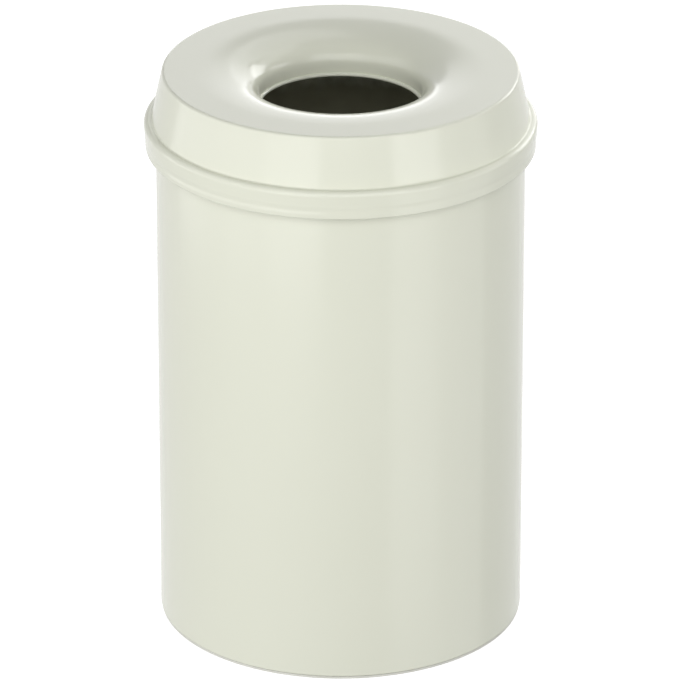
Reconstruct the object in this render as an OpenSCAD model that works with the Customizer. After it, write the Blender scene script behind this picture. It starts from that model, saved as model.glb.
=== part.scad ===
// Round steel waste bin with a lift-off funnel lid that starves a paper fire of air.
// Millimetres. The origin is on the floor at the axis of the drum, +Z is up, the seam faces +Y.

/* [Drum] */
// Outside diameter of the drum
drum_d = 296; // [270:1:330]
// Height of the drum, from its lower edge to the top of its rolled rim
drum_h = 426; // [300:1:560]
// Thickness of the drum's sheet steel
sheet_t = 0.8; // [0.6:0.1:1]
// Diameter of the steel wire inside the rolled rim
wire_d = 5; // [4:0.5:6]
// How far the edge of the roll stays off the wall of the drum
curl_slit = 0.5; // [0.3:0.1:1]
// Width of the overlap where the rolled sheet is welded
seam_w = 11; // [8:1:20]
// How far the overlap stands out from the wall
seam_proud = 0.6; // [0.4:0.1:0.8]
// Height of the hem that is folded up inside the lower edge
hem_h = 9; // [7:0.5:11]

/* [Base pan] */
// Thickness of the pan's sheet steel
pan_t = 0.8; // [0.6:0.1:1]
// Height of the pan's margin above the drum's lower edge
pan_lift = 15; // [15:0.5:24]
// Outer radius of the bend between the pan and its flange
pan_bend_r = 4; // [2.5:0.5:5]
// Width of the flat margin inside the bend
pan_margin_w = 22; // [12:1:40]
// Width of the pressed step inside that margin
pan_step_w = 14; // [10:1:24]
// Height of the pressed step in the middle of the pan
pan_step_h = 3.5; // [2.5:0.5:5]

/* [Floor ring] */
// Thickness of the plastic under the drum's lower edge
ring_foot_t = 2; // [1.5:0.5:4]
// How far the ring is set in from the outside of the drum
ring_inset = 0.6; // [0.4:0.1:1]
// Thickness of the leg that grips the hem from inside
ring_leg_t = 2; // [1.5:0.5:3]
// Height of that leg above the floor
ring_leg_h = 10; // [8:0.5:12]
// Size of the bevels on the ring
ring_bevel = 0.5; // [0.3:0.1:0.7]

/* [Lid] */
// Thickness of the lid's sheet
lid_t = 1.2; // [1:0.1:1.5]
// Height of the crown above the shoulder
skirt_h = 40.8; // [32:0.1:60]
// How far the skirt leans in over that height
skirt_lean = 9; // [5:0.1:14]
// Radius of the rounded edge between the crown and the skirt
crease_r = 2.5; // [2:0.5:6]
// Width of the flat crown, from that edge to the start of the funnel
crown_w = 25.6; // [18:0.1:36]
// Depth of the funnel's curve
funnel_depth = 28.6; // [24:0.1:40]
// How upright the funnel's wall is; 2 makes its curve a quarter ellipse
funnel_upright = 3.3; // [2:0.1:4]
// Height of the straight wall under the curve
throat_wall_h = 2.5; // [1.5:0.1:4]
// Diameter of the opening
throat_d = 128.5; // [100:0.5:140]
// How far the rolled lip stands into the opening
lip_proud = 1.9; // [1.2:0.1:2.5]
// Radius of the inner corner between the skirt and the shoulder
step_r = 1.5; // [1:0.1:2]
// Distance from the drum's wall out to that corner
step_out = 3.6; // [2.5:0.1:4]
// Outer radius of the shoulder's rounded edge
shoulder_r = 4; // [2.5:0.1:4.5]
// Height of the shoulder and the band together
band_h = 23.2; // [21:0.1:30]
// How far the band closes in from its top to its lower edge
band_taper = 1.2; // [0.6:0.1:1.6]
// How far the rolled lower edge stands in from the band
band_hem_proud = 0.6; // [0.5:0.1:1.1]

/* [Lid clips] */
// Number of leaf springs inside the band
clip_count = 3; // [3:1:6]
// Length of each spring along the band
clip_len = 24; // [12:1:40]
// Thickness of the spring steel
clip_t = 0.5; // [0.4:0.1:0.6]
// How far the bow's tip reaches above the middle of the rolled rim
clip_tip_h = 1.8; // [1.2:0.1:2.2]
// How far the tip flares outwards, so that the spring slides over the rim
clip_flare = 0.2; // [0.1:0.1:0.3]
// How far the bow's root lies below the middle of the rolled rim
clip_bow_h = 5; // [4:0.1:6]
// Direction of the first spring, in degrees from +X
clip_first = 30; // [0:5:115]

/* [Clearances] */
// Gap between the folded sheets of the seams
seam_gap = 0.1; // [0.05:0.01:0.15]
// Gap between the wire and the roll around it
wire_gap = 0.1; // [0.05:0.01:0.2]
// Gap between the foot of the lid's skirt and the rolled rim
rest_gap = 0.3; // [0.3:0.1:0.5]
// Gap between the springs and the rolled rim
clip_gap = 0.35; // [0.3:0.05:0.5]
// Room between the rolled rim and the lower edge of the band
lift_gap = 0.5; // [0.5:0.1:1]

/* [Hidden] */
$fn = 96;

coat = [0.89, 0.89, 0.83];
inside_coat = [0.30, 0.30, 0.26];
steel = [0.62, 0.62, 0.60];
plastic = [0.72, 0.72, 0.68];

// Degrees between the points of a rounded bend, with wider steps on the tightest bends
bend_step = 9;
small_bend_step = 15;

// Drum, from the floor up
drum_r = drum_d / 2;
drum_in_r = drum_r - sheet_t;
drum_z = ring_foot_t + seam_gap;
rim_z = drum_z + drum_h;
chime_w = 2 * sheet_t + pan_t + 2 * seam_gap;
chime_mid_r = drum_r - chime_w / 2;
chime_mid_z = drum_z + chime_w / 2;
hem_in_r = drum_r - chime_w;
hem_top_z = drum_z + hem_h;
curl_in_r = wire_d / 2 + wire_gap;
curl_r = curl_in_r + sheet_t;
curl_mid_r = drum_in_r + curl_r;
curl_mid_z = rim_z - curl_r;
curl_end = acos((sheet_t + curl_slit - curl_r) / curl_r);
rim_out_r = curl_mid_r + curl_r;

// Base pan
flange_out_r = drum_in_r - seam_gap;
pan_z = drum_z + pan_lift;
pan_bend_mid_r = flange_out_r - pan_bend_r;
pan_bend_mid_z = pan_z - pan_bend_r;
pan_step_out_r = pan_bend_mid_r - pan_margin_w;

// Lid, from its shoulder up and down; the bend at the foot of the skirt rests on the rolled rim
foot_r = drum_r + step_out;
crown_r = foot_r - skirt_lean;
lean = atan(skirt_lean / skirt_h);
corner_share = (1 - sin(lean)) / cos(lean);
step_mid_r = foot_r + step_r * corner_share;
rest_reach = step_r + lid_t + rest_gap + curl_r;
rest_across = max(0, step_mid_r - curl_mid_r);
shoulder_z = curl_mid_z + sqrt(rest_reach * rest_reach - rest_across * rest_across) - step_r;
crown_z = shoulder_z + skirt_h;
crease_mid = [crown_r - crease_r * corner_share, crown_z - crease_r];
step_mid = [step_mid_r, shoulder_z + step_r];
throat_r = throat_d / 2;
throat_wall_r = throat_r + lip_proud;
funnel_r = crown_r - crown_w;
funnel_run = funnel_r - throat_wall_r;
funnel_foot_z = crown_z - funnel_depth;
lip_r = (lip_proud + lid_t) / 2;
lip_mid = [throat_r + lip_r, funnel_foot_z - throat_wall_h];
band_edge_z = shoulder_z - band_h;
hem_r = (band_hem_proud + lid_t) / 2;
band_r = rim_out_r + lift_gap + band_hem_proud + lid_t + band_taper;
band_lean = atan(band_taper / (band_h - shoulder_r));
shoulder_mid = [band_r - shoulder_r, shoulder_z - shoulder_r];
hem_mid = [band_face_r(band_edge_z + hem_r) - hem_r / cos(band_lean), band_edge_z + hem_r];

// Lid clips
clip_low_z = band_edge_z + 2 * hem_r + clip_gap;
clip_pad_z = curl_mid_z - clip_bow_h;
clip_top_z = curl_mid_z + clip_tip_h;
clip_angle = clip_len / band_r * 180 / PI;

// Points of an arc about a centre, from one angle to another
function arc(mid, r, from, to, degrees = bend_step) =
    let (steps = max(2, ceil(abs(to - from) / degrees)))
    [for (i = [0:steps]) let (a = from + (to - from) * i / steps) mid + r * [cos(a), sin(a)]];

// Radius of the band's outer face at a height, along its slight lean
function band_face_r(z) = band_r - (shoulder_mid[1] - z) * tan(band_lean);
// Radius of the band's inner face at a height
function band_in_r(z) = band_face_r(z) - lid_t / cos(band_lean);

// Points of the funnel's curve, a quarter ellipse pushed upwards, moved down through the sheet by a depth
function funnel(depth) =
    let (power = 2 / funnel_upright)
    [for (i = [0:20]) let (
        t = 90 * i / 20,
        normal = [-funnel_depth * power * cos(t), funnel_run * pow(sin(t), 2 - power)]
    ) [funnel_r - funnel_run * cos(t), funnel_foot_z + funnel_depth * pow(sin(t), power)]
        - depth * normal / norm(normal)];

function reversed(points) = [for (i = [len(points) - 1:-1:0]) points[i]];

// The drum's sheet as one strip: hem, lower bend, wall and the roll around the wire
module drum_section() {
    curl_mid = [curl_mid_r, curl_mid_z];
    chime_mid = [chime_mid_r, chime_mid_z];
    polygon(concat(
        [[hem_in_r, hem_top_z]],
        arc(chime_mid, chime_w / 2, 180, 360, small_bend_step),
        arc(curl_mid, curl_in_r, 180, -curl_end),
        arc(curl_mid, curl_r, -curl_end, 180),
        arc(chime_mid, chime_w / 2 - sheet_t, 360, 180, small_bend_step),
        [[hem_in_r + sheet_t, hem_top_z]]
    ));
}

// The outer layer of the welded overlap at the back
module drum_seam() {
    seam_angle = seam_w / drum_r * 180 / PI;
    low_z = chime_mid_z;
    high_z = curl_mid_z - curl_r;
    rotate([0, 0, 90 - seam_angle / 2])
        rotate_extrude(angle = seam_angle)
            translate([drum_r - sheet_t / 2, low_z])
                square([sheet_t / 2 + seam_proud, high_z - low_z]);
}

module drum_shell() {
    color(coat) {
        rotate_extrude() drum_section();
        drum_seam();
    }
}

module rim_wire() {
    color(steel)
        rotate_extrude()
            translate([curl_mid_r, curl_mid_z])
                circle(d = wire_d);
}

// Upper face of the pan from the middle out to the foot of the rounded step
function pan_face(drop) = concat(
    [[0, pan_z + pan_step_h - drop]],
    [for (i = [0:8]) [
        pan_step_out_r - pan_step_w * (1 - i / 8),
        pan_z - drop + pan_step_h * (1 + cos(180 * i / 8)) / 2
    ]]
);

module base_pan() {
    bend_mid = [pan_bend_mid_r, pan_bend_mid_z];
    color(inside_coat)
        rotate_extrude()
            polygon(concat(
                pan_face(0),
                arc(bend_mid, pan_bend_r, 90, 0),
                [[flange_out_r, chime_mid_z], [flange_out_r - pan_t, chime_mid_z]],
                arc(bend_mid, pan_bend_r - pan_t, 0, 90),
                reversed(pan_face(pan_t))
            ));
}

// An L section: a foot under the drum's edge and a leg that grips the hem
module floor_ring() {
    foot_r = drum_r - ring_inset;
    leg_out_r = hem_in_r - seam_gap;
    leg_in_r = leg_out_r - ring_leg_t;
    color(plastic)
        rotate_extrude()
            polygon([
                [leg_in_r + ring_bevel, 0],
                [foot_r - ring_bevel, 0],
                [foot_r, ring_bevel],
                [foot_r, ring_foot_t],
                [leg_out_r, ring_foot_t],
                [leg_out_r, ring_leg_h - ring_bevel],
                [leg_out_r - ring_bevel, ring_leg_h],
                [leg_in_r + ring_bevel, ring_leg_h],
                [leg_in_r, ring_leg_h - ring_bevel],
                [leg_in_r, ring_bevel]
            ]);
}

// The lid's sheet as one strip, from the lip of the throat to the hem of the band
module lid_section() {
    lip_start = acos((lip_proud - lip_r) / lip_r);
    hem_end = 360 - acos((hem_r - lid_t) / hem_r);
    polygon(concat(
        funnel(0),
        arc(crease_mid, crease_r, 90, lean),
        arc(step_mid, step_r, 180 + lean, 270, small_bend_step),
        arc(shoulder_mid, shoulder_r, 90, -band_lean),
        arc(hem_mid, hem_r, -band_lean, -hem_end - band_lean, small_bend_step),
        arc(shoulder_mid, shoulder_r - lid_t, -band_lean, 90),
        arc(step_mid, step_r + lid_t, 270, 180 + lean, small_bend_step),
        arc(crease_mid, crease_r - lid_t, lean, 90),
        reversed(funnel(lid_t)),
        arc(lip_mid, lip_r, 360, lip_start, small_bend_step)
    ));
}

module lid_shell() {
    color(coat) rotate_extrude() lid_section();
}

// One bowed leaf: its pad lies on the band and its bow reaches in to the rolled rim
module clip_section() {
    bow_r = rim_out_r + clip_gap;
    function pad_r(z) = band_in_r(z) - seam_gap;
    polygon([
        [pad_r(clip_low_z), clip_low_z],
        [pad_r(clip_pad_z), clip_pad_z],
        [bow_r + clip_t, curl_mid_z],
        [bow_r + clip_flare + clip_t, clip_top_z],
        [bow_r + clip_flare, clip_top_z],
        [bow_r, curl_mid_z],
        [pad_r(clip_pad_z) - clip_t, clip_pad_z],
        [pad_r(clip_low_z) - clip_t, clip_low_z]
    ]);
}

module lid_clips() {
    color(steel)
        for (i = [0:clip_count - 1])
            rotate([0, 0, clip_first + i * 360 / clip_count - clip_angle / 2])
                rotate_extrude(angle = clip_angle) clip_section();
}

drum_shell();
rim_wire();
base_pan();
floor_ring();
lid_shell();
lid_clips();
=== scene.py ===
"""Looks of a round steel waste bin with a lift-off funnel lid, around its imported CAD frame.

Metres. The sheet-metal shells are turned here from the same sections as in the CAD part, with finer
bends and with the marks of rolling, lapping and spot welding that a real drum and lid have. The
floor ring is turned as well, and the leaf springs are laid out along the lid's band.
"""

import math

import bmesh
import bpy
import numpy as np
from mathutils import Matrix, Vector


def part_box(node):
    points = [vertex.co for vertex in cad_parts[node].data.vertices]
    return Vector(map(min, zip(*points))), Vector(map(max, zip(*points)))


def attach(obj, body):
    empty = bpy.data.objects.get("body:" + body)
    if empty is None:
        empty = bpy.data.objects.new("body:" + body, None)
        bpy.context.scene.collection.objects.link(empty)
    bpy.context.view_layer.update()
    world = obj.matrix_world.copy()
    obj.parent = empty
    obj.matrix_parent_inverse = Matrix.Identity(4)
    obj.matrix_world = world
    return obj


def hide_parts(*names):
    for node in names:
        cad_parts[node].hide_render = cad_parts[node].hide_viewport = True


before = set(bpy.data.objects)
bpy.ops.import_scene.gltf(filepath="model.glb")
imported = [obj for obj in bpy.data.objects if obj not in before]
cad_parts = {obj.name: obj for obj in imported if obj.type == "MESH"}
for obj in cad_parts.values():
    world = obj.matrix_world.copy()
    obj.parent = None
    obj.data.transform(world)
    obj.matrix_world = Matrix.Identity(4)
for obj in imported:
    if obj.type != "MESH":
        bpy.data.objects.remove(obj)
bpy.context.view_layer.update()

MM = 0.001

# Places that the frame gives
drum_low, drum_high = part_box("drum_shell")
pan_low, pan_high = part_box("base_pan")
_, ring_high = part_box("floor_ring")
lid_low, lid_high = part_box("lid_shell")
clips_low, clips_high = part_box("lid_clips")

# Drum: sheet, rolled rim, seam and hem
sheet_t = 0.8 * MM
wire_d = 5 * MM
wire_gap = 0.1 * MM
curl_slit = 0.5 * MM
seam_gap = 0.1 * MM
seam_w = 11 * MM
seam_proud = 0.6 * MM
hem_h = 9 * MM
drum_z = drum_low.z
rim_z = drum_high.z
drum_in_r = pan_high.x + seam_gap
drum_r = drum_in_r + sheet_t

# Depths below the rim between which the inner coat and its painted shade fade in
inner_coat_shade_start = 8 * MM
inner_coat_shade_full = 40 * MM

# Base pan
pan_t = 0.8 * MM
pan_lift = 15 * MM
pan_bend_r = 4 * MM
pan_margin_w = 22 * MM
pan_step_w = 14 * MM
pan_z = drum_z + pan_lift
pan_step_h = pan_high.z - pan_z

# Floor ring
ring_leg_t = 2 * MM
ring_foot_t = 2 * MM
ring_edge_r = 0.5 * MM

# Lid: funnel, crown, skirt, shoulder and band
lid_t = 1.2 * MM
skirt_lean = 9 * MM
crease_r = 2.5 * MM
crown_w = 25.6 * MM
funnel_depth = 28.6 * MM
funnel_upright = 3.3
throat_wall_h = 2.5 * MM
throat_r = 64.25 * MM
lip_proud = 1.9 * MM
step_r = 1.5 * MM
step_out = 3.6 * MM
shoulder_r = 4 * MM
band_h = 23.2 * MM
band_taper = 1.2 * MM
band_hem_proud = 0.6 * MM

# A soft roll mark in the band's face, above its hem
groove_z = 412.8 * MM
groove_w = 7.6 * MM
groove_depth = 0.22 * MM

# Lid clips: bowed leaf springs on the inside of the band
clip_count = 3
clip_first = math.radians(30)
clip_len = 24 * MM
clip_t = 0.5 * MM
clip_bow_h = 5 * MM
clip_flare = 0.2 * MM
clip_gap = 0.35 * MM
clip_corner_r = 2.5 * MM
clip_edge_r = 0.12 * MM
clip_weld_r = 1.5 * MM
clip_weld_depth = 0.14 * MM
clip_weld_across = 7 * MM
clip_weld_up = 4.2 * MM

# Worked out from those, as in the CAD part
chime_w = 2 * sheet_t + pan_t + 2 * seam_gap
chime_mid = (drum_r - chime_w / 2, drum_z + chime_w / 2)
hem_in_r = drum_r - chime_w
hem_top_z = drum_z + hem_h
curl_in_r = wire_d / 2 + wire_gap
curl_r = curl_in_r + sheet_t
curl_mid = (drum_in_r + curl_r, rim_z - curl_r)
curl_end = math.degrees(math.acos((sheet_t + curl_slit - curl_r) / curl_r))
band_r = lid_high.x
crown_z = lid_high.z
shoulder_z = lid_low.z + band_h
skirt_h = crown_z - shoulder_z
foot_r = drum_r + step_out
crown_r = foot_r - skirt_lean
lean = math.degrees(math.atan(skirt_lean / skirt_h))
corner_share = (1 - math.sin(math.radians(lean))) / math.cos(math.radians(lean))
crease_mid = (crown_r - crease_r * corner_share, crown_z - crease_r)
step_mid = (foot_r + step_r * corner_share, shoulder_z + step_r)
throat_wall_r = throat_r + lip_proud
funnel_r = crown_r - crown_w
funnel_run = funnel_r - throat_wall_r
funnel_foot_z = crown_z - funnel_depth
lip_r = (lip_proud + lid_t) / 2
lip_mid = (throat_r + lip_r, funnel_foot_z - throat_wall_h)
band_lean = math.degrees(math.atan(band_taper / (band_h - shoulder_r)))
shoulder_mid = (band_r - shoulder_r, shoulder_z - shoulder_r)
hem_r = (band_hem_proud + lid_t) / 2
hem_z = lid_low.z + hem_r

# How finely the pieces are laid out. Steps of bends and columns are in degrees.
BEND_STEP = 6
TIGHT_BEND_STEP = 11
COLUMN_STEP = 1.4
COARSE_COLUMN_STEP = 2
FUNNEL_STEPS = 40
GROOVE_STEPS = 12
PAN_SLOPE_STEPS = 12
LEAF_STEP = 0.6 * MM
LEAF_CORNER_POINTS = 8
LEAF_BOW_ROUNDS = 3
SHARP_ANGLE = math.radians(38)
SAME_PLACE = 1e-7


# Sections

OUTSIDE, INSIDE = 0.0, 1.0


def band_face_r(z):
    """Radius of the band's outer face at a height."""
    return band_r - (shoulder_mid[1] - z) * math.tan(math.radians(band_lean))


def arc(mid, radius, start, end, step=BEND_STEP):
    """Points of an arc about a centre, from one angle to another, in degrees."""
    steps = max(2, math.ceil(abs(end - start) / step))
    turns = [math.radians(start + (end - start) * i / steps) for i in range(steps + 1)]
    return [(mid[0] + radius * math.cos(a), mid[1] + radius * math.sin(a)) for a in turns]


def funnel(depth):
    """Points of the funnel's curve, a quarter ellipse pushed upwards, at a depth in the sheet."""
    power = 2 / funnel_upright
    points = []
    for i in range(FUNNEL_STEPS + 1):
        t = math.radians(90 * i / FUNNEL_STEPS)
        across = -funnel_depth * power * math.cos(t)
        up = funnel_run * math.sin(t) ** (2 - power)
        length = math.hypot(across, up)
        points.append((
            funnel_r - funnel_run * math.cos(t) - depth * across / length,
            funnel_foot_z + funnel_depth * math.sin(t) ** power - depth * up / length,
        ))
    return points


def section(*runs, spacing=8 * MM, closed=True):
    """Joins runs of (finish, points) into rows of (radius, height, finish), evenly filled in.

    Finish goes from 0, the outside coat, to 1, the thinner coat inside, whose dark tone is painted
    shade."""
    rows = []
    for finish, points in runs:
        for r, z in points:
            if rows and math.dist(rows[-1][:2], (r, z)) < SAME_PLACE:
                continue
            rows.append((r, z, finish))
    laid = []
    count = len(rows) if closed else len(rows) - 1
    for i in range(count):
        start, end = np.array(rows[i]), np.array(rows[(i + 1) % len(rows)])
        steps = max(1, round(math.dist(start[:2], end[:2]) / spacing))
        laid += [start + (end - start) * k / steps for k in range(steps)]
    if not closed:
        laid.append(np.array(rows[-1]))
    return np.array(laid)


def grooved_face():
    """Points down the band's outer face through its soft groove."""
    points = []
    for i in range(GROOVE_STEPS + 1):
        z = groove_z + groove_w * (0.5 - i / GROOVE_STEPS)
        dip = groove_depth * (1 - math.cos(2 * math.pi * i / GROOVE_STEPS)) / 2
        points.append((band_face_r(z) - dip, z))
    return points


def lid_section():
    """The lid's sheet: funnel, crown, skirt, shoulder, band and hem, then back under them to the lip.

    The outside coat runs round the lip and over the first two points behind it."""
    lip_start = math.degrees(math.acos((lip_proud - lip_r) / lip_r))
    hem_end = 360 - math.degrees(math.acos((hem_r - lid_t) / hem_r))
    hem_mid = (band_face_r(hem_z) - hem_r / math.cos(math.radians(band_lean)), hem_z)
    return section(
        (OUTSIDE, funnel(0)),
        (OUTSIDE, arc(crease_mid, crease_r, 90, lean)),
        (OUTSIDE, arc(step_mid, step_r, 180 + lean, 270, TIGHT_BEND_STEP)),
        (OUTSIDE, arc(shoulder_mid, shoulder_r, 90, -band_lean)),
        (OUTSIDE, grooved_face()),
        (OUTSIDE, arc(hem_mid, hem_r, -band_lean, -hem_end - band_lean, TIGHT_BEND_STEP)),
        (INSIDE, arc(shoulder_mid, shoulder_r - lid_t, -band_lean, 90)),
        (INSIDE, arc(step_mid, step_r + lid_t, 270, 180 + lean, TIGHT_BEND_STEP)),
        (INSIDE, arc(crease_mid, crease_r - lid_t, lean, 90)),
        (INSIDE, funnel(lid_t)[:1:-1]),
        (OUTSIDE, funnel(lid_t)[1::-1]),
        (OUTSIDE, arc(lip_mid, lip_r, 360, lip_start, TIGHT_BEND_STEP)),
    )


def drum_section():
    """The drum's sheet: hem, lower bend, wall and the roll around the wire, then back down inside."""
    return section(
        (OUTSIDE, [(hem_in_r, hem_top_z)]),
        (OUTSIDE, arc(chime_mid, chime_w / 2, 180, 360, TIGHT_BEND_STEP)),
        (OUTSIDE, [(drum_r, z) for z in weld_rows()]),
        (OUTSIDE, arc(curl_mid, curl_in_r, 180, -curl_end, TIGHT_BEND_STEP)),
        (OUTSIDE, arc(curl_mid, curl_r, -curl_end, 180, TIGHT_BEND_STEP)),
        # From here down the inside fades to the dark inner tone, which is painted shade.
        (OUTSIDE, [(drum_in_r, rim_z - inner_coat_shade_start)]),
        (INSIDE, [(drum_in_r, rim_z - inner_coat_shade_full)]),
        (INSIDE, arc(chime_mid, chime_w / 2 - sheet_t, 360, 180, TIGHT_BEND_STEP)),
        (INSIDE, [(hem_in_r + sheet_t, hem_top_z)]),
        spacing=11 * MM,
    )


def pan_section():
    """The pressed base: raised middle, rounded step, flat margin and the flange in the drum's hem."""
    flange_r = pan_high.x
    bend_mid = (flange_r - pan_bend_r, pan_z - pan_bend_r)
    step_end_r = bend_mid[0] - pan_margin_w

    def face(drop):
        """A face of the sheet, from the middle to the foot of its step."""
        points = [(0, pan_z + pan_step_h - drop)]
        for i in range(PAN_SLOPE_STEPS + 1):
            share = i / PAN_SLOPE_STEPS
            r = step_end_r - pan_step_w * (1 - share)
            z = pan_z - drop + pan_step_h * (1 + math.cos(math.pi * share)) / 2
            points.append((r, z))
        return points

    return section(
        (INSIDE, face(0)),
        (INSIDE, arc(bend_mid, pan_bend_r, 90, 0)),
        (INSIDE, [(flange_r, pan_low.z), (flange_r - pan_t, pan_low.z)]),
        (INSIDE, arc(bend_mid, pan_bend_r - pan_t, 0, 90)),
        (INSIDE, face(pan_t)[::-1]),
        spacing=10 * MM, closed=False,
    )


def ring_section():
    """The plastic ring: a foot under the drum's edge and a leg inside the hem, with rounded edges."""
    leg_out_r = hem_in_r - seam_gap
    leg_in_r = leg_out_r - ring_leg_t
    edge = ring_edge_r
    return section(
        (OUTSIDE, arc((leg_in_r + edge, edge), edge, 180, 270, TIGHT_BEND_STEP)),
        (OUTSIDE, arc((ring_high.x - edge, edge), edge, 270, 360, TIGHT_BEND_STEP)),
        (OUTSIDE, [(ring_high.x, ring_foot_t), (leg_out_r, ring_foot_t)]),
        (OUTSIDE, arc((leg_out_r - edge, ring_high.z - edge), edge, 0, 90, TIGHT_BEND_STEP)),
        (OUTSIDE, arc((leg_in_r + edge, ring_high.z - edge), edge, 90, 180, TIGHT_BEND_STEP)),
        spacing=2 * MM,
    )


# The lapped and spot-welded seam at the back of the drum

SEAM_ANGLE = math.radians(90)
seam_low_z = chime_mid[1]
seam_high_z = curl_mid[1] - curl_r
seam_fade = 6 * MM
joggle_w = 4 * MM
lap_edge_w = 0.3 * MM
weld_pitch = 26 * MM
weld_r = 2.8 * MM
weld_depth = 0.28 * MM
weld_end_margin = 14 * MM

# The raised lip around a weld mark: its height as a share of the depth, the rest in weld radii
weld_lip_h = 0.22
weld_lip_at = 1.15
weld_lip_w = 0.22

# Rows of points around a weld, in weld radii, and columns across the seam, in millimetres
WELD_ROWS = (-1.25, -1, -0.75, -0.45, -0.15, 0.15, 0.45, 0.75, 1, 1.25)
SEAM_COLUMNS = (
    -10.5, -9.5, -8.6, -7.7, -6.8, -6, -5.2, -4.3, -3.5, -2.8, -2.1, -1.4, -0.7, 0,
    0.7, 1.4, 2.1, 2.8, 3.5, 4.3, 4.9, 5.2, 5.3, 5.4, 5.5, 5.7, 6.2, 7.5, 9.5,
)


def weld_heights():
    """Heights of the spot welds, evenly along the seam."""
    first, last = seam_low_z + weld_end_margin, seam_high_z - weld_end_margin
    count = round((last - first) / weld_pitch)
    return [first + (last - first) * i / count for i in range(count + 1)]


def weld_rows():
    """Heights at which the wall needs a row of points, so that every weld comes out round."""
    return [z + weld_r * s for z in weld_heights() for s in WELD_ROWS]


def turn_columns(step=COLUMN_STEP, angle=0, places=()):
    """Even turning angles. Around one angle, finer ones take the place of a stretch of them.

    The places of the finer ones are in millimetres along the drum's wall."""
    fine = [angle + place * MM / drum_r for place in places]
    count = round(360 / step)
    even = [2 * math.pi * i / count for i in range(count)]
    margin = math.radians(step) / 2
    kept = [a for a in even if not fine or a < fine[0] - margin or a > fine[-1] + margin]
    return np.array(sorted(kept + fine))


def smooth(x):
    """Smoothstep of a share that may run past 0 and 1."""
    x = np.clip(x, 0, 1)
    return x * x * (3 - 2 * x)


def seam_rise(across, height):
    """How far the lap's outer sheet stands out: joggle, flat lap and cut edge, with weld marks."""
    half = seam_w / 2
    lap = smooth((across + half + joggle_w) / joggle_w) * smooth((half - across) / lap_edge_w)
    ends = smooth((height - seam_low_z) / seam_fade) * smooth((seam_high_z - height) / seam_fade)
    marks = np.zeros_like(height)
    for z in weld_heights():
        distance = np.hypot(across, height - z) / weld_r
        marks += weld_lip_h * weld_depth * np.exp(-((distance - weld_lip_at) / weld_lip_w) ** 2)
        marks -= weld_depth * (1 - smooth(distance))
    return seam_proud * lap * ends + marks


# The rolled wall's slight waves: share of the height, waves round, turn per metre up, start
WALL_WAVES = ((1.0, 3, 11, 0.7), (0.6, 5, -23, 2.1), (0.4, 8, 31, 4.0))
wall_wave_h = 0.06 * MM
wave_fade_low = 60 * MM
wave_fade_high = 50 * MM

# How far from the middle of the sheet, and from its outer face, a point still counts as on the wall
wall_reach = 0.6 * sheet_t
face_reach = 0.01 * MM


def wall_waves(angle, height):
    """A tenth of a millimetre or so of waviness, fading out at the stiff edges."""
    waves = sum(
        share * np.sin(count * angle + rise * height + start)
        for share, count, rise, start in WALL_WAVES
    )
    stiff = smooth((height - drum_z) / wave_fade_low) * smooth((rim_z - height) / wave_fade_high)
    return wall_wave_h * waves * stiff


def drum_shape(radius, height, angle):
    """The drum's radius after rolling and welding."""
    in_wall = np.abs(radius - drum_r + sheet_t / 2) < wall_reach
    moved = radius + np.where(in_wall, wall_waves(angle, height), 0)
    on_face = np.abs(radius - drum_r) < face_reach
    on_wall = on_face & (height > seam_low_z) & (height < seam_high_z)
    across = (angle - SEAM_ANGLE) * drum_r
    return moved + np.where(on_wall, seam_rise(across, height), 0)


# The fine groove where the two ends of the bent floor ring meet

RING_JOINT_ANGLE = math.radians(108)
RING_JOINT_COLUMNS = (-0.7, -0.3, -0.12, 0, 0.12, 0.3, 0.7)
ring_joint_half_w = 0.3 * MM
ring_joint_depth = 0.25 * MM
ring_joint_reach = 3 * MM


def ring_shape(radius, height, angle):
    """The floor ring's radius, with the groove in its outer faces."""
    across = np.abs(angle - RING_JOINT_ANGLE) * drum_r
    groove = ring_joint_depth * (1 - smooth(across / ring_joint_half_w))
    middle = ring_high.x - ring_joint_reach
    return radius - np.where(radius > middle, groove, 0)


# Meshes

SHARPEST_BEND_R = 1.5 * MM


def new_object(name, data):
    """An object in the scene for a mesh, a camera or a lamp."""
    thing = bpy.data.objects.new(name, data)
    bpy.context.scene.collection.objects.link(thing)
    return thing


def smooth_piece(name, mesh):
    """A piece that is shaded smooth up to its sharp edges."""
    mesh.polygons.foreach_set("use_smooth", np.ones(len(mesh.polygons), bool))
    mesh.set_sharp_from_angle(angle=SHARP_ANGLE)
    return new_object(name, mesh)


def turned(radius, height, angle):
    """Points in space from grids of radius, height and turning angle."""
    return np.stack((radius * np.cos(angle), radius * np.sin(angle), height), axis=-1)


def store_values(mesh, name, values):
    """Keeps a value for every point of a mesh, for its material."""
    layer = mesh.attributes.new(name, "FLOAT", "POINT")
    layer.data.foreach_set("value", values.ravel().astype(np.float32))


def signed_area(r, z):
    """Twice the area inside a section, positive where its points run anticlockwise."""
    return np.sum(r * np.roll(z, -1) - np.roll(r, -1) * z)


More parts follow.
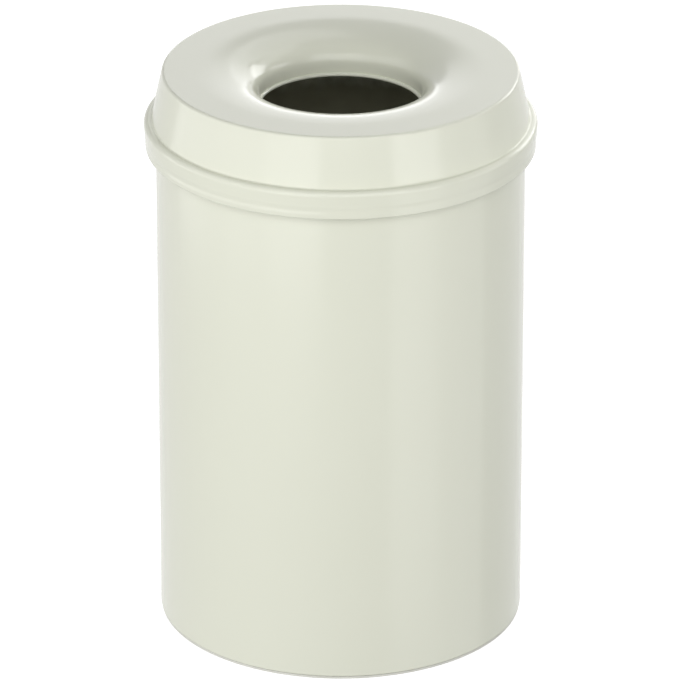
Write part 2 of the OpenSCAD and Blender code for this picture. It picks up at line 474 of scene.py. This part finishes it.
def revolve(name, rows, columns, shape=None, closed=True):
    """Turns a section about the drum's axis. shape moves a point's radius by its height and angle."""
    around = len(columns)
    radius, height, finish = (np.repeat(v[:, None], around, axis=1) for v in rows.T)
    angle = np.repeat(columns[None, :], len(rows), axis=0)
    if shape:
        radius = shape(radius, height, angle)
    points = turned(radius, height, angle).reshape(-1, 3)

    r, z = rows[:, 0], rows[:, 1]
    bands = len(rows) if closed else len(rows) - 1
    i, j = np.meshgrid(np.arange(bands), np.arange(around), indexing="ij")
    this, after = i * around, (i + 1) % len(rows) * around
    following = (j + 1) % around
    corners = (this + j, this + following, after + following, after + j)
    quads = np.stack(corners, axis=-1).reshape(-1, 4)
    if signed_area(r, z) < 0:
        quads = quads[:, ::-1]

    mesh = bpy.data.meshes.new(name)
    mesh.from_pydata(points.tolist(), [], quads.tolist())
    store_values(mesh, "finish", finish)
    store_values(mesh, "bend", np.repeat(bend_of(r, z)[:, None], around, axis=1))
    if not closed:
        weld_axis(mesh)
    piece = smooth_piece(name, mesh)
    even = piece.modifiers.new("even_normals", "WEIGHTED_NORMAL")
    even.keep_sharp = True
    return piece


def bend_of(r, z):
    """How sharply each point of a section bends outwards, up to 1 at the sharpest bend's radius."""
    back = np.stack((r - np.roll(r, 1), z - np.roll(z, 1)), axis=-1)
    ahead = np.roll(back, -1, axis=0)
    cross = back[:, 0] * ahead[:, 1] - back[:, 1] * ahead[:, 0]
    turn = np.arctan2(cross, np.sum(back * ahead, axis=1))
    length = (np.linalg.norm(back, axis=1) + np.linalg.norm(ahead, axis=1)) / 2
    return np.clip(np.sign(signed_area(r, z)) * turn / length * SHARPEST_BEND_R, 0, 1)


def weld_axis(mesh):
    """Joins the many points that an open section leaves on the axis."""
    shape = bmesh.new()
    shape.from_mesh(mesh)
    bmesh.ops.remove_doubles(shape, verts=shape.verts, dist=0.001 * MM)
    shape.to_mesh(mesh)
    shape.free()


# The leaf springs inside the band

def leaf_line():
    """The middle line of a leaf: from its pad on the band, in to the rolled rim and out at its tip."""
    def pad_r(z):
        """Radius of the pad's middle, just off the band's inner face."""
        return band_face_r(z) - lid_t / math.cos(math.radians(band_lean)) - seam_gap - clip_t / 2

    pad_z = curl_mid[1] - clip_bow_h
    bow_r = curl_mid[0] + curl_r + clip_gap + clip_t / 2
    line = np.array([
        (pad_r(clips_low.z), clips_low.z),
        (pad_r(pad_z), pad_z),
        (bow_r, curl_mid[1]),
        (bow_r + clip_flare, clips_high.z),
    ])
    for _ in range(LEAF_BOW_ROUNDS):
        near = 0.75 * line[:-1] + 0.25 * line[1:]
        far = 0.25 * line[:-1] + 0.75 * line[1:]
        cuts = np.stack((near, far), axis=1).reshape(-1, 2)
        line = np.concatenate((line[:1], cuts, line[-1:]))
    return line


def leaf_rows(length):
    """Places along a leaf, close together at its rounded corners."""
    corner = clip_corner_r * (1 - np.cos(np.linspace(0, math.pi / 2, LEAF_CORNER_POINTS)))
    steps = round((length - 2 * clip_corner_r) / LEAF_STEP)
    middle = np.linspace(clip_corner_r, length - clip_corner_r, steps)
    return np.concatenate((corner[:-1], middle, length - corner[-2::-1]))


def leaf_faces(across, line, rows):
    """The two faces of a leaf as grids of (radius, height), the inner one with its weld marks."""
    lengths = np.concatenate(([0], np.cumsum(np.linalg.norm(np.diff(line, axis=0), axis=1))))
    middle = np.stack([np.interp(rows, lengths, line[:, k]) for k in (0, 1)], axis=-1)
    run = np.gradient(middle, rows, axis=0)
    out = np.stack((run[:, 1], -run[:, 0]), axis=-1) / np.linalg.norm(run, axis=1, keepdims=True)
    welds = np.zeros_like(across)
    for place in (-clip_weld_across, clip_weld_across):
        distance = np.hypot(across - place, rows[:, None] - clip_weld_up) / clip_weld_r
        welds += clip_weld_depth * (1 - smooth(distance))
    shifts = (np.full_like(across, clip_t / 2), welds - clip_t / 2)
    return [middle[:, None, :] + shift[:, :, None] * out[:, None, :] for shift in shifts]


def edge_of(grid):
    """The points around the edge of a grid, in order."""
    first, last = grid[0][:-1], grid[-1][:0:-1]
    return first + [row[-1] for row in grid[:-1]] + last + [row[0] for row in grid[:0:-1]]


def spring_leaves(name):
    """All the leaves as one piece, each a plate with rounded corners that follows the band."""
    line = leaf_line()
    length = np.sum(np.linalg.norm(np.diff(line, axis=0), axis=1))
    rows = leaf_rows(length)
    past_corner = np.clip(clip_corner_r - np.minimum(rows, length - rows), 0, None)
    inset = clip_corner_r - np.sqrt(clip_corner_r ** 2 - past_corner ** 2)
    columns = np.linspace(-1, 1, round(clip_len / LEAF_STEP))
    across = (clip_len / 2 - inset)[:, None] * columns[None, :]
    shape = bmesh.new()
    for i in range(clip_count):
        angle = clip_first + 2 * math.pi * i / clip_count + across / band_r
        grids = []
        for face in leaf_faces(across, line, rows):
            points = turned(face[..., 0], face[..., 1], angle)
            grids.append([[shape.verts.new(point) for point in row] for row in points])
        outer, inner = grids
        for a, b in zip(outer, outer[1:]):
            for j in range(len(columns) - 1):
                shape.faces.new((a[j], a[j + 1], b[j + 1], b[j]))
        for a, b in zip(inner, inner[1:]):
            for j in range(len(columns) - 1):
                shape.faces.new((a[j], b[j], b[j + 1], a[j + 1]))
        outer_edge, inner_edge = edge_of(outer), edge_of(inner)
        for j in range(len(outer_edge)):
            shape.faces.new((outer_edge[j], inner_edge[j], inner_edge[j - 1], outer_edge[j - 1]))
    bmesh.ops.recalc_face_normals(shape, faces=shape.faces)
    mesh = bpy.data.meshes.new(name)
    shape.to_mesh(mesh)
    shape.free()
    piece = smooth_piece(name, mesh)
    rounding = piece.modifiers.new("rounded_edges", "BEVEL")
    rounding.width = clip_edge_r
    rounding.segments = 2
    rounding.limit_method = "ANGLE"
    rounding.angle_limit = math.radians(50)
    return piece


# Materials. Each noise scale is given by the size of its marks.

class Nodes:
    """A material's node tree, with short calls for what the finishes here share."""

    def __init__(self, name):
        self.material = bpy.data.materials.new(name)
        self.material.use_nodes = True
        self.tree = self.material.node_tree
        self.shader = self.tree.nodes["Principled BSDF"]
        self.place = self.add("ShaderNodeTexCoord").outputs["Object"]

    def add(self, kind, **settings):
        """A new node with its settings."""
        node = self.tree.nodes.new(kind)
        for key, value in settings.items():
            setattr(node, key, value)
        return node

    def link(self, source, target):
        """Links one socket to another."""
        self.tree.links.new(source, target)

    def put(self, socket, value):
        """Sets a socket, or links it where the value is another node's output."""
        if isinstance(value, bpy.types.NodeSocket):
            self.link(value, socket)
        else:
            socket.default_value = value

    def set(self, **values):
        """Sets or links the shader's own sockets, named with underscores."""
        for name, value in values.items():
            self.put(self.shader.inputs[name.replace("_", " ")], value)

    def coordinates(self):
        """The three outputs x, y and z of a point's place."""
        split = self.add("ShaderNodeSeparateXYZ")
        self.link(self.place, split.inputs[0])
        return split.outputs

    def noise(self, size, detail, place=None, roughness=0.5):
        """Noise with marks of a size in metres."""
        node = self.add("ShaderNodeTexNoise")
        node.inputs["Scale"].default_value = 1 / size
        node.inputs["Detail"].default_value = detail
        node.inputs["Roughness"].default_value = roughness
        self.link(place or self.place, node.inputs["Vector"])
        return node.outputs["Fac"]

    def span(self, value, low, high, start=0.3, end=0.7):
        """Maps a value from start..end to low..high."""
        node = self.add("ShaderNodeMapRange", interpolation_type="SMOOTHSTEP")
        limits = {"From Min": start, "From Max": end, "To Min": low, "To Max": high}
        for name, number in limits.items():
            node.inputs[name].default_value = number
        self.link(value, node.inputs["Value"])
        return node.outputs["Result"]

    def math(self, operation, a, b=0.0):
        """One step of arithmetic."""
        node = self.add("ShaderNodeMath", operation=operation)
        self.put(node.inputs[0], a)
        self.put(node.inputs[1], b)
        return node.outputs[0]

    def mix(self, share, a, b):
        """Mixes two colours. The Mix node takes them at sockets 6 and 7 and gives the result at 2."""
        node = self.add("ShaderNodeMix", data_type="RGBA")
        for socket, value in zip((node.inputs[0], node.inputs[6], node.inputs[7]), (share, a, b)):
            self.put(socket, value)
        return node.outputs[2]

    def patches(self, size, detail, a, b):
        """Two colours in soft patches of a size."""
        return self.mix(self.span(self.noise(size, detail), 0.0, 1.0), a, b)

    def attribute(self, name):
        """A value that is kept for every point of the mesh."""
        return self.add("ShaderNodeAttribute", attribute_name=name).outputs["Fac"]

    def bump(self, height, distance):
        """A normal that follows a height, which stands a distance in metres at its full value."""
        node = self.add("ShaderNodeBump")
        node.inputs["Distance"].default_value = distance
        self.link(height, node.inputs["Height"])
        return node.outputs["Normal"]

    def around(self, along):
        """Coordinates that run with the turning: radius, height and a slow step the way round."""
        x, y, z = self.coordinates()
        squares = self.math("ADD", self.math("MULTIPLY", x, x), self.math("MULTIPLY", y, y))
        radius = self.math("SQRT", squares)
        joined_up = self.add("ShaderNodeCombineXYZ")
        self.link(radius, joined_up.inputs[0])
        self.link(z, joined_up.inputs[1])
        self.link(self.math("MULTIPLY", self.math("ARCTAN2", y, x), along), joined_up.inputs[2])
        return joined_up.outputs[0]


def colour(r, g, b):
    """A colour for a shader's socket."""
    return (r, g, b, 1.0)


COAT = colour(0.781, 0.795, 0.674)
COAT_DEEP = colour(0.776, 0.790, 0.667)
COAT_THIN = colour(0.750, 0.762, 0.649)
# The inner tones are painted shade: the inside is coloured dark and warm as if in the bin's deep shade.
INNER_SHADE = colour(0.283, 0.278, 0.188)
INNER_SHADE_DEEP = colour(0.233, 0.229, 0.154)
PLASTIC = colour(0.72, 0.72, 0.66)
PLASTIC_DEEP = colour(0.67, 0.67, 0.61)
PLASTIC_RUBBED = colour(0.52, 0.52, 0.47)
WIRE = colour(0.50, 0.50, 0.48)
WIRE_DARK = colour(0.36, 0.36, 0.34)
SPRING = colour(0.56, 0.56, 0.55)
SPRING_DARK = colour(0.44, 0.44, 0.43)

INNER_PATCH = 30 * MM
INNER_EDGE_RAGGED = 0.35
INNER_ROUGHER = 0.26
IOR = 1.5


def powder_coat(name, patch):
    """Gloss powder coat outside, thinning over the bends, and a thin satin coat that fades in inside,
    coloured dark as painted shade.
    """
    m = Nodes(name)
    finish = m.attribute("finish")
    ragged = m.math("SUBTRACT", m.noise(9 * MM, 4), 0.5)
    broken = m.math("ADD", finish, m.math("MULTIPLY", ragged, INNER_EDGE_RAGGED))
    inside = m.span(broken, 0.0, 1.0, 0.15, 0.85)
    tone = m.patches(patch, 3, COAT, COAT_DEEP)
    thin = m.math("MULTIPLY", m.attribute("bend"), m.span(m.noise(14 * MM, 3), 0.25, 0.75))
    outer = m.mix(thin, tone, COAT_THIN)
    # The inner colour is painted shade of the bin's inside; its extra roughness is the coat's own.
    inner = m.patches(INNER_PATCH, 4, INNER_SHADE, INNER_SHADE_DEEP)
    m.set(Base_Color=m.mix(inside, outer, inner))

    handled = m.span(m.noise(55 * MM, 2), 0.150, 0.175)
    m.set(Roughness=m.math("ADD", handled, m.math("MULTIPLY", inside, INNER_ROUGHER)))
    m.set(IOR=IOR)

    peel = m.bump(m.noise(3.2 * MM, 1, roughness=0.4), 0.004 * MM)
    m.set(Normal=peel)
    return m.material


def satin_coat(name):
    """The thin coat of the pressed base, its dark grey colour painted shade, with faint scuffs from what
    was thrown in.
    """
    m = Nodes(name)
    m.set(Base_Color=m.patches(INNER_PATCH, 4, INNER_SHADE, INNER_SHADE_DEEP))
    scuffs = m.span(m.noise(5 * MM, 5, roughness=0.7), 0.0, 0.10, 0.55, 0.75)
    even = m.span(m.noise(40 * MM, 3), 0.46, 0.54)
    m.set(Roughness=m.math("ADD", even, scuffs), IOR=IOR)
    m.set(Normal=m.bump(m.noise(1.6 * MM, 2), 0.012 * MM))
    return m.material


def moulded_plastic(name):
    """Pale polyethylene with a fine moulded grain, a little darker where it has rubbed on floors."""
    m = Nodes(name)
    tone = m.patches(25 * MM, 3, PLASTIC, PLASTIC_DEEP)
    height = m.coordinates()[2]
    near_floor = m.span(height, 1.0, 0.0, 0.0, 0.9 * MM)
    rubbed = m.math("MULTIPLY", near_floor, m.span(m.noise(4 * MM, 4), 0.0, 0.6))
    m.set(Base_Color=m.mix(rubbed, tone, PLASTIC_RUBBED))
    m.set(Roughness=m.span(m.noise(3 * MM, 3), 0.42, 0.56), IOR=IOR)
    m.set(Normal=m.bump(m.noise(0.5 * MM, 2), 0.02 * MM))
    return m.material


def drawn_steel(name, base, dark, streak):
    """Bare steel with fine lines that run the way it was drawn or rolled, around the rim."""
    m = Nodes(name)
    lines = m.noise(streak, 3, place=m.around(along=0.004))
    m.set(Base_Color=m.mix(m.span(lines, 0.0, 1.0), base, dark), Metallic=1.0)
    worn = m.math("ADD", lines, m.math("MULTIPLY", m.noise(6 * MM, 3), 0.3))
    m.set(Roughness=m.span(worn, 0.26, 0.42, 0.4, 0.9))
    m.set(Normal=m.bump(lines, 0.004 * MM))
    return m.material


# The pieces

def dress(piece, material, body, slot, *nodes):
    """Gives a piece its material and body, and hides the CAD nodes that it stands for. The slot is not
    used.
    """
    piece.data.materials.append(material)
    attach(piece, body)
    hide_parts(*nodes)


def refinish(node, material):
    """A CAD node that stays as it is gets a better material."""
    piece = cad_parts[node]
    for place in piece.material_slots:
        place.material = material


drum_columns = turn_columns(angle=SEAM_ANGLE, places=SEAM_COLUMNS)
drum = revolve("drum_sheet", drum_section(), drum_columns, drum_shape)
dress(drum, powder_coat("drum_powder_coat", 160 * MM), "bin", "drum_coat", "drum_shell")

lid = revolve("lid_sheet", lid_section(), turn_columns())
dress(lid, powder_coat("lid_powder_coat", 120 * MM), "lid", "lid_coat", "lid_shell")

# The base's dark colour is painted shade.
pan = revolve("pressed_base", pan_section(), turn_columns(COARSE_COLUMN_STEP), closed=False)
dress(pan, satin_coat("satin_coat_painted_shade"), "bin", "pan_coat", "base_pan")

ring_columns = turn_columns(COARSE_COLUMN_STEP, RING_JOINT_ANGLE, RING_JOINT_COLUMNS)
ring = revolve("floor_ring_moulded", ring_section(), ring_columns, ring_shape)
dress(ring, moulded_plastic("moulded_plastic"), "bin", "ring_plastic", "floor_ring")

wire_finish = drawn_steel("drawn_wire", WIRE, WIRE_DARK, 0.35 * MM)
refinish("rim_wire", wire_finish)

springs = spring_leaves("lid_spring_leaves")
spring_finish = drawn_steel("spring_steel", SPRING, SPRING_DARK, 0.3 * MM)
dress(springs, spring_finish, "lid", "clip_steel", "lid_clips")


# Camera. Its rise, aim and lens were fitted to the outlines of the crown, the band and the base.

CAMERA_DISTANCE = 5.5
CAMERA_RISE = math.radians(24.19)
CAMERA_AIM = (-0.0006, 0.0, 0.23314)
CAMERA_LENS = 358.8


def make_camera():
    """A camera at the photograph's viewing angle, without roll or lens shift."""
    camera = new_object("camera", bpy.data.cameras.new("camera"))
    camera.data.sensor_width = 36
    camera.data.lens = CAMERA_LENS
    camera.data.clip_start, camera.data.clip_end = 0.1, 100
    aim_x, aim_y, aim_z = CAMERA_AIM
    camera.location = (
        aim_x,
        aim_y - CAMERA_DISTANCE * math.cos(CAMERA_RISE),
        aim_z + CAMERA_DISTANCE * math.sin(CAMERA_RISE),
    )
    camera.rotation_euler = (math.pi / 2 - CAMERA_RISE, 0, 0)
    bpy.context.scene.camera = camera


# Stage and light

# Directions as seen from the bin, in degrees: azimuth 0 is the camera's side, 90 is to the right
SOFTBOXES = {
    "left_wall": dict(azimuths=(-117, -46), rises=(-21, 6), radiance=1.18),
    "left_edge": dict(azimuths=(-46, -11), rises=(-21.5, 7), radiance=1.77),
    "left_high": dict(azimuths=(-101, -34), rises=(7, 46), radiance=0.9),
    "left_low": dict(azimuths=(-110, -46), rises=(-60, -37), radiance=1.5),
    "front_top": dict(azimuths=(-34, 41), rises=(7, 47), radiance=1.84),
    "right_panel": dict(azimuths=(31, 60), rises=(-32, -8), radiance=0.96),
    "right_strip": dict(azimuths=(31, 60), rises=(-8, 9), radiance=2.1),
    "right_wall": dict(azimuths=(60, 98), rises=(-42, 11), radiance=0.58),
    "right_high": dict(azimuths=(75, 108), rises=(11, 24), radiance=2.2),
    "back_key": dict(azimuths=(122, 151), rises=(10, 34), radiance=3.7),
    "back_turn": dict(azimuths=(151, 171), rises=(-4, 29), radiance=1.45),
    "back_brow": dict(azimuths=(156, 175), rises=(29, 36.5), radiance=1.0),
    "back": dict(azimuths=(171, 190), rises=(-4, 29), radiance=0.95),
    "back_strip": dict(azimuths=(166, 196), rises=(0, 9), radiance=1.4),
    "back_top": dict(azimuths=(110, 180), rises=(36, 64), radiance=0.82),
}
# The widest flat lamp in a softbox, in degrees
PANEL_WIDTH = 36
SOFTBOX_DISTANCE = 2.5
LIGHT_AIM_Z = 0.3
SURROUND = 0.12
WHITE = (1.0, 1.0, 1.0, 1.0)


def softbox(name, azimuths, rises, radiance):
    """A curved softbox that fills a range of directions, made of flat lamps side by side."""
    count = math.ceil((azimuths[1] - azimuths[0]) / PANEL_WIDTH)
    span = math.radians(azimuths[1] - azimuths[0]) / count
    rise = math.radians(sum(rises) / 2)
    width = 2 * SOFTBOX_DISTANCE * math.tan(span * math.cos(rise) / 2)
    height = 2 * SOFTBOX_DISTANCE * math.tan(math.radians(rises[1] - rises[0]) / 2)
    for i in range(count):
        lamp = bpy.data.lights.new(f"{name}_{i + 1}", "AREA")
        lamp.shape = "RECTANGLE"
        lamp.size = width
        lamp.size_y = height
        lamp.energy = radiance * math.pi * width * height
        azimuth = math.radians(azimuths[0]) + span * (i + 0.5)
        holder = new_object(lamp.name, lamp)
        holder.location = (
            SOFTBOX_DISTANCE * math.sin(azimuth) * math.cos(rise),
            -SOFTBOX_DISTANCE * math.cos(azimuth) * math.cos(rise),
            LIGHT_AIM_Z + SOFTBOX_DISTANCE * math.sin(rise),
        )
        holder.rotation_euler = (math.pi / 2 - rise, 0, azimuth)
        holder.visible_camera = False


def background_share(tree):
    """1 on camera, glossy and transmission rays, which see the white background as it is."""
    path = tree.nodes.new("ShaderNodeLightPath")
    total = path.outputs["Is Camera Ray"]
    for name in ("Is Glossy Ray", "Is Transmission Ray"):
        step = tree.nodes.new("ShaderNodeMath")
        step.operation = "MAXIMUM"
        tree.links.new(total, step.inputs[0])
        tree.links.new(path.outputs[name], step.inputs[1])
        total = step.outputs[0]
    return total


def make_world():
    """A world that is white to the camera and in reflections, and lights the bin only faintly."""
    world = bpy.data.worlds.new("studio")
    bpy.context.scene.world = world
    world.use_nodes = True
    tree = world.node_tree
    surround = tree.nodes["Background"]
    surround.inputs["Color"].default_value = WHITE
    surround.inputs["Strength"].default_value = SURROUND
    white = tree.nodes.new("ShaderNodeBackground")
    white.inputs["Color"].default_value = WHITE
    choice = tree.nodes.new("ShaderNodeMixShader")
    tree.links.new(background_share(tree), choice.inputs[0])
    tree.links.new(surround.outputs[0], choice.inputs[1])
    tree.links.new(white.outputs[0], choice.inputs[2])
    tree.links.new(choice.outputs[0], tree.nodes["World Output"].inputs["Surface"])


FLOOR_SIZE = 12.0
FLOOR_TONE = 0.35
FLOOR_LIFT = 0.90


def make_floor():
    """A pale floor that keeps the bin's shadow. It lets a camera below it see the base."""
    mesh = bpy.data.meshes.new("floor")
    half = FLOOR_SIZE / 2
    corners = [(-half, -half, 0), (half, -half, 0), (half, half, 0), (-half, half, 0)]
    mesh.from_pydata(corners, [], [(0, 1, 2, 3)])
    floor = new_object("floor", mesh)
    floor.visible_glossy = False
    floor.visible_diffuse = False
    floor.visible_shadow = False
    material = bpy.data.materials.new("pale_floor")
    material.use_nodes = True
    tree = material.node_tree
    tree.nodes.clear()
    pale = tree.nodes.new("ShaderNodeBsdfDiffuse")
    pale.inputs["Color"].default_value = (FLOOR_TONE, FLOOR_TONE, FLOOR_TONE, 1)
    lift = tree.nodes.new("ShaderNodeEmission")
    lift.inputs["Strength"].default_value = FLOOR_LIFT
    both = tree.nodes.new("ShaderNodeAddShader")
    clear = tree.nodes.new("ShaderNodeBsdfTransparent")
    side = tree.nodes.new("ShaderNodeNewGeometry")
    choice = tree.nodes.new("ShaderNodeMixShader")
    out = tree.nodes.new("ShaderNodeOutputMaterial")
    tree.links.new(pale.outputs[0], both.inputs[0])
    tree.links.new(lift.outputs[0], both.inputs[1])
    tree.links.new(side.outputs["Backfacing"], choice.inputs[0])
    tree.links.new(both.outputs[0], choice.inputs[1])
    tree.links.new(clear.outputs[0], choice.inputs[2])
    tree.links.new(choice.outputs[0], out.inputs["Surface"])
    mesh.materials.append(material)


make_camera()
make_world()
make_floor()
for box_name, box in SOFTBOXES.items():
    softbox(box_name, **box)
bpy.context.scene.view_settings.view_transform = "Standard"

bpy.context.view_layer.update()
